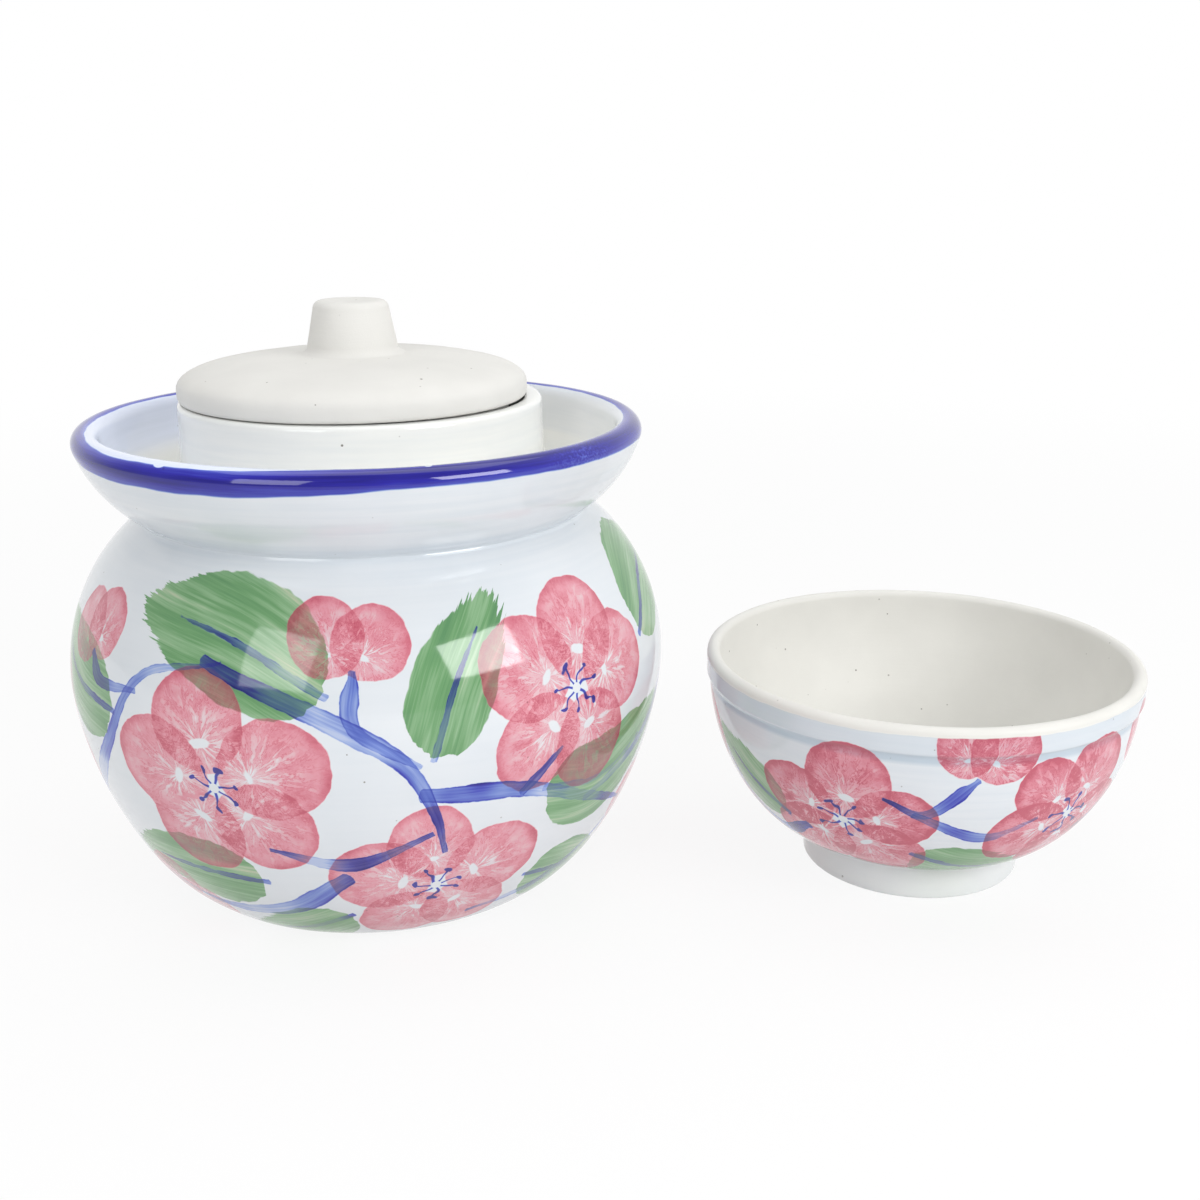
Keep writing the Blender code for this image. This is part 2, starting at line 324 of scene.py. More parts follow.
def lid_outline(lid):
    """Half section of the lid: knob, dome, rounded edge, and the plug ring underneath."""
    knob_edge, fillet, spread = 2.6 * MM, 2.8 * MM, 2.1 * MM
    edge_rise, edge, plug_depth = 3.4 * MM, 1.0 * MM, 6 * MM
    plug_wall, plug_edge, plate = 5 * MM, 1 * MM, 9.8 * MM
    fullness, fine = 2.5, 1.2
    radius, seat, top, plug = lid.radius, lid.seat, lid.knob_top, lid.plug_radius
    edge_height = seat + edge_rise
    rise = lid.dome_height - edge_height

    def dome(out):
        """Height of the dome at a distance from the axis."""
        share = np.clip(1 - (out / radius) ** fullness, 0, 1)
        return edge_height + rise * share ** (1 / fullness)

    outline = Outline(lid_low, lid_high, "knob")
    draw = outline.draw
    flat_end = lid.knob_radius - knob_edge
    draw("knob", fine, (0, top - 0.35 * MM), (flat_end * 0.6, top - 0.2 * MM))
    draw("knob", fine, (flat_end, top))
    draw("knob", 0.5, *arc((flat_end, top - knob_edge), knob_edge, math.pi / 2, 0))
    fillet_end = lid.knob_radius + spread + fillet
    centre = (fillet_end, float(dome(fillet_end)) + fillet)
    draw("knob", fine, (fillet_end - fillet, centre[1]))
    draw("knob", 0.5, *arc(centre, fillet, math.pi, 1.5 * math.pi))
    start = math.asin((fillet_end / radius) ** (fullness / 2))
    radii = radius * np.sin(np.linspace(start, math.pi / 2, CURVE_POINTS)) ** (2 / fullness)
    draw("dome", fine, *zip(radii, dome(radii)))
    outline.soften("edge", 0.5, (radius, seat + edge / 3), (radius - edge, seat))
    bottom, ceiling = seat - plug_depth, lid.dome_height - plate
    draw("under", fine, (plug, seat))
    draw("under", fine, (plug, bottom + plug_edge))
    draw("under", fine, (plug - plug_edge, bottom))
    draw("under", fine, (plug - plug_wall, bottom))
    draw("under", 2 * fine, (plug - plug_wall, ceiling))
    draw("under", 6, (0, ceiling))
    return outline


def bowl_outline(bowl):
    """Half section of the bowl: well, rounded lip, rim band, step, wall and foot ring."""
    foot_edge, ring_width, recess, inset = 1 * MM, 5.6 * MM, 6.5 * MM, 9 * MM
    fullness, fine = 1.78, 1.4
    radius, foot, curl, step = bowl.radius, bowl.foot_radius, bowl.lip / 2, bowl.step
    lip_middle = (radius - curl, bowl.height - curl)
    well = (foot - inset, bowl.floor)
    band_bottom = bowl.height - bowl.band
    wall_top, wall_end = (radius - step, band_bottom - step), (foot, bowl.foot_height)

    outline = Outline(bowl_low, bowl_high, "band")
    draw, soften = outline.draw, outline.soften
    draw("well", 4, (0, bowl.floor), well)
    draw("well", 2.4, *swelling(well, (radius - bowl.lip, lip_middle[1]), fullness))
    draw("lip", 0.5, *arc(lip_middle, curl, math.pi, 0))
    draw("band", 0.7, (radius, band_bottom + 0.8 * MM))
    soften("band", 0.4, (radius, band_bottom), (radius - step * 0.55, band_bottom - step * 0.5))
    side = swelling(wall_end, wall_top, fullness)[::-1]
    side = side[side[:, 1] < band_bottom - step - 1.2 * MM]
    soften("band", 0.4, wall_top, side[0])
    draw("wall", fine, *side)
    soften("foot", 0.5, wall_end, (foot, bowl.foot_height - 1 * MM))
    draw("foot", fine, (foot, foot_edge))
    outside, inside = foot - foot_edge, foot - foot_edge - ring_width
    soften("foot", 0.4, (foot, 0), (outside, 0))
    draw("ring", 2, (inside, 0))
    draw("recess", 2, (inside - foot_edge, recess))
    draw("recess", 5, (0, recess))
    return outline


def turn(name, outline, steps):
    """Draw a half section by extruding one point, spin it a quarter turn and mirror that round the axis.

    Give back the piece, its points in metres, and the ring of the outline that each belongs to.
    """
    axis = (outline.axis_x, 0, 0)
    bpy.ops.object.select_all(action="DESELECT")
    bpy.ops.mesh.primitive_plane_add(size=1 * MM, location=axis)
    piece = bpy.context.object
    piece.name = piece.data.name = name
    bpy.ops.object.mode_set(mode="EDIT")
    bpy.ops.mesh.select_all(action="SELECT")
    bpy.ops.mesh.merge(type="CENTER")
    here = outline.rings[0]
    bpy.ops.transform.translate(value=(here[0], 0, here[1]))
    for ring in outline.rings[1:]:
        step = ring - here
        bpy.ops.mesh.extrude_region_move(TRANSFORM_OT_translate={"value": (step[0], 0, step[1])})
        here = ring
    bpy.ops.mesh.select_all(action="SELECT")
    bpy.ops.mesh.spin(steps=steps, angle=math.pi / 2, center=axis, axis=(0, 0, 1))
    bpy.ops.object.mode_set(mode="OBJECT")
    mirror = piece.modifiers.new("Round", "MIRROR")
    mirror.use_axis = (True, True, False)
    mirror.merge_threshold = 0.01 * MM
    bpy.ops.object.modifier_apply(modifier=mirror.name)
    bpy.ops.object.transform_apply(location=True, rotation=True, scale=True)
    bpy.ops.object.mode_set(mode="EDIT")
    bpy.ops.mesh.select_all(action="SELECT")
    bpy.ops.mesh.remove_doubles(threshold=0.01 * MM)
    bpy.ops.mesh.normals_make_consistent(inside=False)
    bpy.ops.object.mode_set(mode="OBJECT")
    bpy.ops.object.shade_smooth_by_angle(angle=math.radians(35))

    points = np.zeros(len(piece.data.vertices) * 3, np.float32)
    piece.data.vertices.foreach_get("co", points)
    points = points.reshape(-1, 3).astype(float)
    spots = np.column_stack((np.hypot(points[:, 0] - outline.axis_x, points[:, 1]), points[:, 2]))
    # Each point's nearest ring, found in batches so that the tables of distances stay small.
    batches = np.array_split(spots, 16)
    rings = [np.abs(batch[:, None] - outline.rings).sum(2).argmin(1) for batch in batches]
    return piece, points, np.concatenate(rings)


def store(piece, name, values):
    """Keep one number or vector for each point of the mesh, for the materials to read."""
    single = values.ndim == 1
    layer = piece.data.attributes.new(name, "FLOAT" if single else "FLOAT_VECTOR", "POINT")
    layer.data.foreach_set("value" if single else "vector", values.astype(np.float32).ravel())


def store_rings(piece, points, rings, outline, pools=(), creams_and_painted_light=()):
    """Store where each point lies round and along the section, and how the glaze lies there.

    Each pool and cream says where it starts and ends along the section, how softly, and its share. The cream
    colour is partly painted light.
    """
    along = outline.along()
    angle = np.arctan2(points[:, 1], points[:, 0] - outline.axis_x)
    turned = (RING_RADIUS * np.cos(angle), RING_RADIUS * np.sin(angle), along[rings])
    store(piece, "turned", np.column_stack(turned))
    for name, spots in (("pool", pools), ("cream_and_painted_light", creams_and_painted_light)):
        amount = np.zeros(len(outline.rings))
        for start, end, soft, share in spots:
            rise = np.clip((along - start) / soft + 0.5, 0, 1) * np.clip((end - along) / soft + 0.5, 0, 1)
            amount = np.maximum(amount, share * rise)
        store(piece, name, amount[rings])


def hand_turned(piece, size, depth, give):
    """Slight unevenness left by the potter's hands. It only takes clay away, and least where give is 0."""
    group = piece.vertex_groups.new(name="Give")
    give = np.round(give, 2)
    for level in np.unique(give):
        group.add(np.nonzero(give == level)[0].tolist(), float(level), "REPLACE")
    texture = bpy.data.textures.new(piece.name, "CLOUDS")
    texture.noise_scale = size
    texture.noise_depth = 1
    uneven = piece.modifiers.new("Hand turned", "DISPLACE")
    uneven.texture = texture
    uneven.texture_coords = "LOCAL"
    uneven.strength = depth
    uneven.mid_level = 1.0
    uneven.vertex_group = group.name
    bpy.ops.object.modifier_apply(modifier=uneven.name)


class Wall:
    """The painted wall of a turned piece, from the first of its stretches to the last.

    A place on it is a turn from the front in degrees, to the right as one looks at it, and a
    length up from the foot in millimetres.
    """

    def __init__(self, points, rings, outline, stretches, front):
        first, last = outline.span(stretches[0])[0], outline.span(stretches[-1])[1]
        self.painted = (rings >= first) & (rings <= last)
        self.points = points[self.painted] / MM
        self.axis, self.front = outline.axis_x / MM, front
        section = outline.rings[first : last + 1][::-1] / MM
        self.radius, self.height = section.T
        self.up = travelled(section)

    def place(self, turn, up):
        """The point on the wall, in millimetres."""
        angle = np.radians(self.front + np.asarray(turn, float))
        radius = np.interp(up, self.up, self.radius)
        height = np.interp(up, self.up, self.height)
        return np.stack((self.axis + radius * np.cos(angle), radius * np.sin(angle), height), -1)

    def seen_from(self, turn, up):
        """How far each point of the wall lies from a place: to the right, up the wall, and in all."""
        angle = math.radians(self.front + turn)
        across = np.array((-math.sin(angle), math.cos(angle), 0))
        rise = self.place(turn, up + 1) - self.place(turn, up - 1)
        offset = self.points - self.place(turn, up)
        return offset @ across, offset @ (rise / np.linalg.norm(rise)), np.linalg.norm(offset, axis=1)

    def moved(self, turn, up, right, rise):
        """A place that lies so many millimetres to the right of another and above it."""
        radius = float(np.interp(up + rise / 2, self.up, self.radius))
        return turn + math.degrees(right / radius), up + rise

    def spread(self, values):
        """Values of the wall's points as values of all the piece's points."""
        every = np.full((len(self.painted), *values.shape[1:]), FAR)
        every[self.painted] = values
        return every


def smooth_path(stops, spacing):
    """A curve through the stops, with so many points from one to the next."""
    stops = np.array(stops, float)
    ends = np.vstack((2 * stops[0] - stops[1], stops, 2 * stops[-1] - stops[-2]))
    t = np.linspace(0, 1, spacing, endpoint=False)[:, None]
    found = []
    for a, b, c, d in zip(ends, ends[1:], ends[2:], ends[3:]):
        bend, twist = 2 * a - 5 * b + 4 * c - d, 3 * b - a - 3 * c + d
        found.append(0.5 * (2 * b + (c - a) * t + bend * t**2 + twist * t**3))
    return np.vstack((*found, stops[-1:]))


def dab_field(wall, dabs):
    """Each point's place in its nearest dab: right and up in radii, and millimetres outside its edge."""
    field = np.full((len(wall.points), 3), FAR)
    for number, (turn, up, radius, leaning, squash) in enumerate(dabs):
        right, above, away = wall.seen_from(turn, up)
        lean = math.radians(leaning)
        u = (right * math.cos(lean) + above * math.sin(lean)) / radius
        v = (above * math.cos(lean) - right * math.sin(lean)) / (radius * squash)
        gap = (np.hypot(u, v) - 1) * radius
        # The far side of the piece lies behind the dab too, so only what is near it counts.
        closer = (away < 2.2 * radius) & (gap < field[:, 2])
        field[closer] = np.column_stack((u + CELL * (number + 0.5), v, gap))[closer]
    return field


def unit(vectors):
    """The same vectors, each of length 1."""
    return vectors / np.linalg.norm(vectors, axis=1)[:, None]


def stroke_field(wall, strokes):
    """Each point's place in its nearest stroke: distance left to its end, distance across,
    half the stroke's width there, and millimetres outside its edge."""
    field = np.full((len(wall.points), 4), FAR)
    # Far from any stroke its width is small, so that no paint lies there.
    field[:, 2] = 0.5
    for number, (stops, widths) in enumerate(strokes):
        line = wall.place(*smooth_path(stops, PATH_POINTS).T)
        way = travelled(line)
        width = np.interp(way / way[-1], np.linspace(0, 1, len(widths)), widths)
        middle = line.mean(0)
        reach = np.linalg.norm(line - middle, axis=1).max() + max(widths) + STROKE_REACH
        near = np.nonzero(np.linalg.norm(wall.points - middle, axis=1) < reach)[0]
        points = wall.points[near]
        nearest = np.linalg.norm(points[:, None] - line[None], axis=2).argmin(1)
        tangent = unit(np.gradient(line, axis=0))
        side = unit(np.cross(unit((line - (wall.axis, 0, 0)) * (1, 1, 0)), tangent))
        offset = points - line[nearest]
        ahead = np.einsum("ij,ij->i", offset, tangent[nearest])
        beside = np.einsum("ij,ij->i", offset, side[nearest])
        left = np.clip(way[-1] - way[nearest] - ahead, 0, way[-1])
        inner = (nearest > 0) & (nearest < len(line) - 1)
        gap = np.where(inner, np.abs(beside), np.hypot(beside, ahead)) - width[nearest]
        closer = gap < field[near, 3]
        rows = np.column_stack((left + STROKE_CELL * number, beside, width[nearest], gap))
        field[near[closer]] = rows[closer]
    return field


def sort_into_layers(shapes, depth, clash):
    """Share out shapes so that those in a layer keep apart; the last layer takes what is left."""
    layers = [[] for _ in range(depth)]
    for shape in shapes:
        free = [layer for layer in layers if not any(clash(shape, other) for other in layer)]
        (free[0] if free else layers[-1]).append(shape)
    return layers


def dabs_clash(wall, first, second):
    """Whether two dabs come too close."""
    gap = np.linalg.norm(wall.place(*first[:2]) - wall.place(*second[:2]))
    return gap < first[2] + second[2] + APART


def strokes_clash(wall, first, second):
    """Whether two strokes cross or come too close."""
    lines = [wall.place(*smooth_path(stroke[0], ROUGH_POINTS).T) for stroke in (first, second)]
    gap = np.linalg.norm(lines[0][:, None] - lines[1][None], axis=2).min()
    return gap < max(first[1]) + max(second[1]) + APART


def blossom(wall, turn, up, size, leaning, petals=5, spread=72):
    """Sponge dabs fanned round a middle, each with its veins towards the middle."""
    dabs = []
    # The sines make small differences from petal to petal, the same ones on each run.
    for petal in range(petals):
        angle = leaning + spread * (petal - (petals - 1) / 2) + 5 * math.sin(petal * 2.4 + turn)
        ring = size * (1.20 + 0.06 * math.sin(petal * 1.7 + up))
        way = math.radians(angle)
        place = wall.moved(turn, up, ring * math.cos(way), ring * math.sin(way))
        squash = 0.95 + 0.06 * math.sin(petal * 3.1 + turn)
        dabs.append((*place, size * (1 + 0.05 * math.sin(petal * 2.9 + up)), angle + 180, squash))
    return dabs


def leaf(width, *stops):
    """A broad brush stroke that starts round, swells and runs out dry."""
    shares, pointed = np.linspace(0, 1, 24), 0.35
    body = np.sin(math.pi * shares**0.72) ** 0.55
    widths = width * (body * (1 - pointed) + pointed * np.sin(math.pi * shares**0.6) ** 0.9)
    return stops, [float(w) for w in np.clip(widths, 0.3, None)]


def midrib(stroke):
    """A thin cobalt line up the middle of a leaf, from its stalk to near its tip."""
    path = smooth_path(stroke[0], ROUGH_POINTS)
    kept = path[: round(len(path) * 0.82)]
    thick = 0.45 + 0.04 * max(stroke[1])
    return kept[:: max(1, len(kept) // 4)], [thick, thick * 1.1, thick * 0.9, thick * 0.7, 0.3]


def brush_line(start, middle, end, *stops):
    """A cobalt line with its width at the start, the middle and the end."""
    return stops, [start * 0.7, start, (start + middle) / 2, middle, (middle + end) / 2, end, end * 0.4]


def paint(piece, wall, blossoms, half_open, leaves, lines):
    """Store where each layer of paint lies on the piece."""
    dabs = [dab for fan in (*blossoms, *half_open) for dab in blossom(wall, *fan)]
    leaves = [leaf(*one) for one in leaves]
    lines = [*(brush_line(*one) for one in lines), *map(midrib, leaves)]
    for number, layer in enumerate(sort_into_layers(dabs, DABS_DEEP, partial(dabs_clash, wall))):
        store(piece, f"dab_{number}", wall.spread(dab_field(wall, layer)))
    for number, layer in enumerate(sort_into_layers(leaves, LEAVES_DEEP, partial(strokes_clash, wall))):
        store(piece, f"leaf_{number}", wall.spread(stroke_field(wall, layer))[:, [0, 1, 3]])
    for number, layer in enumerate(sort_into_layers(lines, STROKES_DEEP, partial(strokes_clash, wall))):
        field = wall.spread(stroke_field(wall, layer))
        store(piece, f"line_{number}", field[:, :3])
        store(piece, f"line_gap_{number}", field[:, 3])
    field = np.full((len(wall.points), 3), FAR)
    for fan in blossoms:
        rows = np.column_stack(wall.seen_from(*fan[:2]))
        near = rows[:, 2] < HEART_REACH
        field[near] = rows[near]
    store(piece, "heart", wall.spread(field))


# The front of each picture, in degrees round the piece from the right.
JAR_FRONT = -80.7
BOWL_FRONT = -103.2

# Blossoms: turn, height, size of a petal and lean. Half-open ones also say how many petals and how
# far apart. Leaves: width and stops. Lines: width at the start, the middle and the end, and stops.
# Stops are turns from the front in degrees and lengths up the wall in millimetres.
JAR_BLOSSOMS = (
    (-29, 74, 16.0, 98),
    (37, 95, 15.5, 77),
    (10, 37, 14.4, 93),
    (-88, 66, 15.5, 60),
    (88, 54, 15.5, 130),
    (139, 92, 15.5, 20),
    (-141, 95, 14.9, 80),
    (180, 46, 14.9, 100),
    (-124, 36, 13.9, 15),
)
JAR_HALF_OPEN = (
    (-5, 106, 11.3, 85, 2, 62),
    (-60, 100, 11.3, 110, 2, 56),
    (58, 34, 11.8, 15, 2, 64),
    (-44, 30, 10.8, 215, 2, 60),
    (109, 106, 11.3, 80, 2, 60),
    (-172, 110, 11.3, 95, 2, 58),
    (142, 24, 10.8, 250, 2, 60),
    (-86, 16, 10.3, 250, 2, 60),
)
JAR_LEAVES = (
    (16.0, (-9, 103), (-26, 117), (-50, 125)),
    (15.0, (-52, 90), (-68, 94), (-86, 108)),
    (15.5, (31, 66), (48, 62), (72, 76)),
    (13.0, (-24, 40), (-42, 40), (-62, 38)),
    (15.5, (60, 102), (72, 116), (94, 122)),
    (11.5, (32, 30), (46, 24), (62, 12)),
    (12.5, (9, 84), (14, 106), (24, 130)),
    (9.5, (-8, 24), (-20, 14), (-36, 7)),
    (14.5, (108, 62), (122, 66), (144, 60)),
    (15.5, (150, 120), (168, 112), (186, 98)),
    (14.5, (-106, 112), (-122, 120), (-146, 122)),
    (12.0, (-104, 44), (-108, 24), (-114, 10)),
    (14.5, (-150, 66), (-160, 62), (-178, 74)),
    (11.5, (150, 28), (160, 22), (174, 12)),
)
JAR_LINES = (
    (2.8, 1.8, 1.0, (-68, 56), (-54, 80), (-44, 103), (-28, 110)),
    (1.1, 1.7, 2.5, (-46, 98), (-56, 97), (-60, 103)),
    (2.3, 3.2, 1.7, (-30, 110), (-11, 98), (3, 84), (9, 66), (11, 52)),
    (1.4, 1.8, 2.8, (6, 82), (-4, 94), (-4, 108)),
    (3.1, 2.1, 1.4, (8, 72), (26, 68), (43, 56), (60, 44)),
    (1.8, 1.4, 1.1, (26, 68), (33, 78)),
    (1.8, 2.8, 3.4, (43, 56), (62, 66), (78, 84), (90, 106)),
    (3.4, 2.0, 0.9, (-8, 42), (-20, 28), (-38, 22), (-56, 26)),
    (1.1, 2.6, 1.4, (8, 58), (-6, 49), (-20, 54)),
    (1.0, 2.1, 1.3, (20, 18), (40, 22), (58, 36)),
    (2.5, 3.2, 1.8, (90, 106), (108, 98), (124, 82), (150, 74)),
    (1.6, 1.6, 2.1, (106, 98), (109, 106)),
    (1.8, 2.5, 1.6, (150, 74), (170, 66), (180, 58)),
    (2.5, 3.2, 1.8, (-68, 56), (-98, 76), (-122, 84), (-134, 106)),
    (1.6, 1.8, 2.5, (-122, 84), (-126, 60), (-124, 46)),
    (1.8, 2.5, 3.0, (-140, 84), (-160, 92), (-172, 108)),
)
BOWL_BLOSSOMS = (
    (-18, 39, 13.5, 85),
    (46, 41, 13.0, 62),
    (-88, 42, 13.5, 100),
    (136, 38, 13.5, 85),
    (-152, 42, 13.0, 70),
)
BOWL_HALF_OPEN = (
    (15, 58, 10.5, 80, 2, 62),
    (76, 48, 10.5, 60, 2, 64),
    (-52, 26, 9.0, 215, 2, 60),
    (104, 50, 10.0, 100, 2, 60),
    (-118, 50, 10.0, 95, 2, 60),
    (176, 30, 9.5, 300, 2, 60),
)
BOWL_LEAVES = (
    (10.0, (2, 26), (20, 17), (44, 15)),
    (11.0, (-38, 34), (-50, 42), (-66, 56)),
    (10.0, (72, 30), (86, 26), (106, 26)),
    (10.0, (-108, 30), (-120, 24), (-136, 20)),
    (10.5, (160, 44), (172, 48), (188, 58)),
)
BOWL_LINES = (
    (1.0, 1.7, 2.3, (-6, 50), (4, 46), (15, 58)),
    (1.6, 2.1, 1.1, (2, 45), (20, 36), (34, 42)),
    (2.2, 1.6, 0.9, (-32, 30), (-44, 22), (-56, 28), (-64, 46)),
    (1.1, 1.7, 2.3, (58, 30), (68, 36), (76, 48)),
    (1.6, 1.4, 2.1, (92, 32), (98, 40), (104, 50)),
    (1.0, 1.8, 1.4, (-104, 56), (-124, 60), (-138, 52)),
    (2.1, 1.4, 1.0, (152, 26), (166, 20), (184, 26)),
)

# The rim band, from just inside the lip's top to under its outside, in millimetres along the lip.
BAND_START = 4.0
BAND_END = 13.9
# Left of the front the brush dipped further out: where, in degrees round the jar, and how far.
DIPPED = -122
DIP = 4.3
# Where the band is broken by flecks, in degrees round the jar.
FLECKED = -36
# Nicks in the band's inner edge: turn round the jar in degrees, place out along the lip and half its
# length in millimetres, and length over width.
NICKS = ((-120.0, 8.4, 1.2, 0.6), (-69.5, 5.2, 1.9, 1.3))
# The glaze ends this far under the bowl's lip, in millimetres.
WAX_LINE = 1.5

# Pigments, from the thinnest coat to the thickest.
ROSE = (
    (0, "#FFFFFF"),
    (0.22, "#FFE3E5"),
    (0.42, "#FFC7CD"),
    (0.62, "#FDA7B2"),
    (0.82, "#EF8494"),
    (1, "#DA6174"),
)
COBALT = (
    (0, "#FFFFFF"),
    (0.25, "#B3C4F2"),
    (0.45, "#7C92DE"),
    (0.65, "#4A54C8"),
    (0.82, "#2A22AC"),
    (1, "#150A86"),
)
# Green runs from where the leaf is dark to where the bristles left it thin and yellowish.
GREEN = (
    (0.30, "#4F8453"),
    (0.46, "#649661"),
    (0.58, "#78A572"),
    (0.68, "#94AF82"),
    (0.76, "#BCB48B"),
)

SMOOTH = {"interpolation_type": "SMOOTHSTEP"}
COLOUR = {"data_type": "RGBA"}
# A length across which a pattern doesn't change.
ENDLESS = math.inf


def connect(tree, node, inputs):
    """Set sockets of a node, known by place or name, to a value, a socket or a node's result."""
    sockets = [socket for socket in node.inputs if socket.enabled]
    for key, value in inputs.items():
        socket = sockets[key] if isinstance(key, int) else next(one for one in sockets if one.name == key)
        if isinstance(value, bpy.types.Node):
            value = next(result for result in value.outputs if result.enabled)
        if isinstance(value, bpy.types.NodeSocket):
            tree.links.new(value, socket)
        else:
            socket.default_value = value


def add_node(tree, kind, *values, stops=(), **settings):
    """Add a shader node with its settings, links and colour stops.

    A kind in capitals is an operation of the Math node, and another kind may be followed by its
    operation. Values fill the node's sockets in their order: a map range takes a value, the ends of
    its range and the ends of the new one, and a noise takes a place, a scale in 1/mm, detail and
    roughness. Settings with a capital letter are sockets too.
    """
    kind, *operation = ("Math", kind) if kind.isupper() else kind.split()
    node = tree.nodes.new("ShaderNode" + kind)
    if operation:
        node.operation = operation[0]
    sockets = dict(enumerate(values))
    for name, value in settings.items():
        if name[0].isupper():
            sockets[name] = value
        else:
            setattr(node, name, value)
    connect(tree, node, sockets)
    for number, (position, shade) in enumerate(stops):
        slots = node.color_ramp.elements
        stop = slots[number] if number < 2 else slots.new(position)
        stop.position, stop.color = position, linear(shade)
    return node


def new_material(name):
    """An empty material, the function that adds its nodes, and the piece's own place in millimetres."""
    material = bpy.data.materials.new(name)
    material.use_nodes = True
    add = partial(add_node, material.node_tree)
    return material, add, add("VectorMath SCALE", add("TexCoord").outputs["Object"], 1 / MM)


def coat(material, **inputs):
    """Set the sockets of the material's shader, and give back the material."""
    tree = material.node_tree
    names = {name.replace("_", " "): value for name, value in inputs.items()}
    connect(tree, tree.nodes["Principled BSDF"], names)
    return material


def stored(add, name, result="Vector"):
    """What the mesh keeps under a name."""
    return add("Attribute", attribute_name=name).outputs[result]


def streaks(add, place, grain, detail, **settings):
    """Noise drawn out like the marks of a brush or finger, its grain in millimetres on each axis."""
    drawn = add("VectorMath MULTIPLY", place, [1 / size for size in grain])
    return add("TexNoise", drawn, 1.0, detail, **settings)


def ragged(add, spot, edge, grain, detail, amount, soft):
    """Where paint lies: 1 inside an edge that wanders by so many millimetres, and 0 outside it."""
    edge = add("MULTIPLY_ADD", add("TexNoise", spot, 1 / grain, detail), amount, edge)
    return add("MapRange", add("SUBTRACT", edge, amount / 2), *soft, 1, 0, **SMOOTH)


def from_place(add, ring, turned, out, weights):
    """Millimetres from a place on the jar, at a turn in degrees and so far out along the lip."""
    angle = math.radians(turned)
    place = (RING_RADIUS * math.cos(angle), RING_RADIUS * math.sin(angle), out)
    offset = add("VectorMath MULTIPLY", add("VectorMath SUBTRACT", ring, place), weights)
    return add("VectorMath LENGTH", offset)


def specks(add, spot, share):
    """Iron specks, up to half a millimetre in radius, in a share of the cells of a 4 mm pattern."""
    spacing = 4.0
    cells = add("TexVoronoi", spot, 1 / spacing, feature="F1")
    wanted, size, depth = add("SeparateXYZ", cells.outputs["Color"]).outputs
    radius = add("MapRange", size, 0, 1, 0.14 / spacing, 0.50 / spacing)
    depth = add("MapRange", depth, 0, 1, 0.25, 0.9)
    ink = add("MapRange", cells.outputs["Distance"], add("MULTIPLY", radius, 0.6), radius, depth, 0)
    return add("MULTIPLY", ink, add("LESS_THAN", wanted, share))


def sponge_dabs(add, spot, number):
    """How thick the rose pigment lies in one layer of sponge dabs, from 0 to 1."""
    across, above, gap = add("SeparateXYZ", stored(add, f"dab_{number}")).outputs
    cell = add("SNAP", across, CELL)
    right = add("SUBTRACT", add("SUBTRACT", across, cell), CELL / 2)

    # The sponge was lifted from one side, which draws the wet pigment into veins towards it.
    local = add("CombineXYZ", add("SUBTRACT", right, 0.42), above)
    away = add("VectorMath LENGTH", local)
    ray = add("VectorMath SCALE", add("VectorMath NORMALIZE", local), 5.4)
    outward = add("MULTIPLY_ADD", away, 2.6, add("MULTIPLY", cell, 0.37))
    ray = add("VectorMath ADD", ray, add("CombineXYZ", Z=outward))
    fork = add("SUBTRACT", add("TexNoise", ray, 1.0, 4.0, 0.7, Distortion=0.5), 0.5)
    reach = add("MapRange", away, 0.1, 1.25, 1, 0.14)
    vein = add("MULTIPLY", add("MapRange", add("ABSOLUTE", fork), 0, 0.032, 0.52, 0), reach)
    patchy = add("MapRange", add("TexNoise", spot, 1 / 9, 1.0), 0.35, 0.6, 0.45, 2.3)
    fork = add("MULTIPLY", add("MULTIPLY", fork, patchy), reach)

    # A sponge's pores are finer than this; they are drawn 0.8 mm apart, so that they don't flicker.
    pores = add("TexNoise", spot, 1 / 0.8, 2.0)
    cloud = add("TexNoise", spot, 1 / 6, 3.0, 0.55)
    heart = add("MapRange", away, 0.05, 0.9, -0.16, 0.10, **SMOOTH)
    rim = add("MapRange", gap, -4.0, -0.2, 0, add("MapRange", right, 0.5, -0.9, 0.03, 0.26), **SMOOTH)
    ink = add("ADD", heart, 0.11)
    for part, weight in ((fork, 1.25), (cloud, 0.62), (pores, 0.12), (rim, 1.0), (vein, 1.0)):
        ink = add("MULTIPLY_ADD", part, weight, ink)
    ink.use_clamp = True

    # Where the sponge let go, a narrow spot of bare glaze is left.
    narrow = add("VectorMath LENGTH", add("VectorMath MULTIPLY", local, (1.9, 0.85, 1.0)))
    narrow = add("MULTIPLY_ADD", cloud, -0.30, narrow)
    ink = add("MULTIPLY", ink, add("MapRange", narrow, -0.03, 0.03, **SMOOTH))
    inside = ragged(add, spot, gap, 7, 3.0, 2.4, (-0.28, 0.12))
    return add("MULTIPLY", ink, inside, use_clamp=True)


def brushed_leaf(add, spot, number):
    """Where one layer of leaves lies, and the streaks that the bristles left in it."""
    place = stored(add, f"leaf_{number}")
    left, _, gap = add("SeparateXYZ", place).outputs
    left = add("MODULO", left, STROKE_CELL)
    bristle = streaks(add, place, (30, 0.9, ENDLESS), 4.0, Roughness=0.6, Distortion=0.1)
    broad = streaks(add, place, (40, 6, ENDLESS), 2.0)
    dry = add("MapRange", left, 2, 20, 14, 0.9)
    edge = add("MULTIPLY_ADD", add("SUBTRACT", bristle, 0.42), dry, gap)
    inside = ragged(add, spot, edge, 9, 2.0, 3.0, (-0.25, 0.2))
    tone = add("SUBTRACT", add("MULTIPLY_ADD", bristle, 0.55, add("MULTIPLY", broad, 0.75)), 0.15)
    cover = add("MapRange", tone, 0.45, 0.85, 0.97, 0.72)
    return add("MULTIPLY", inside, cover), add("ValToRGB", tone, stops=GREEN)


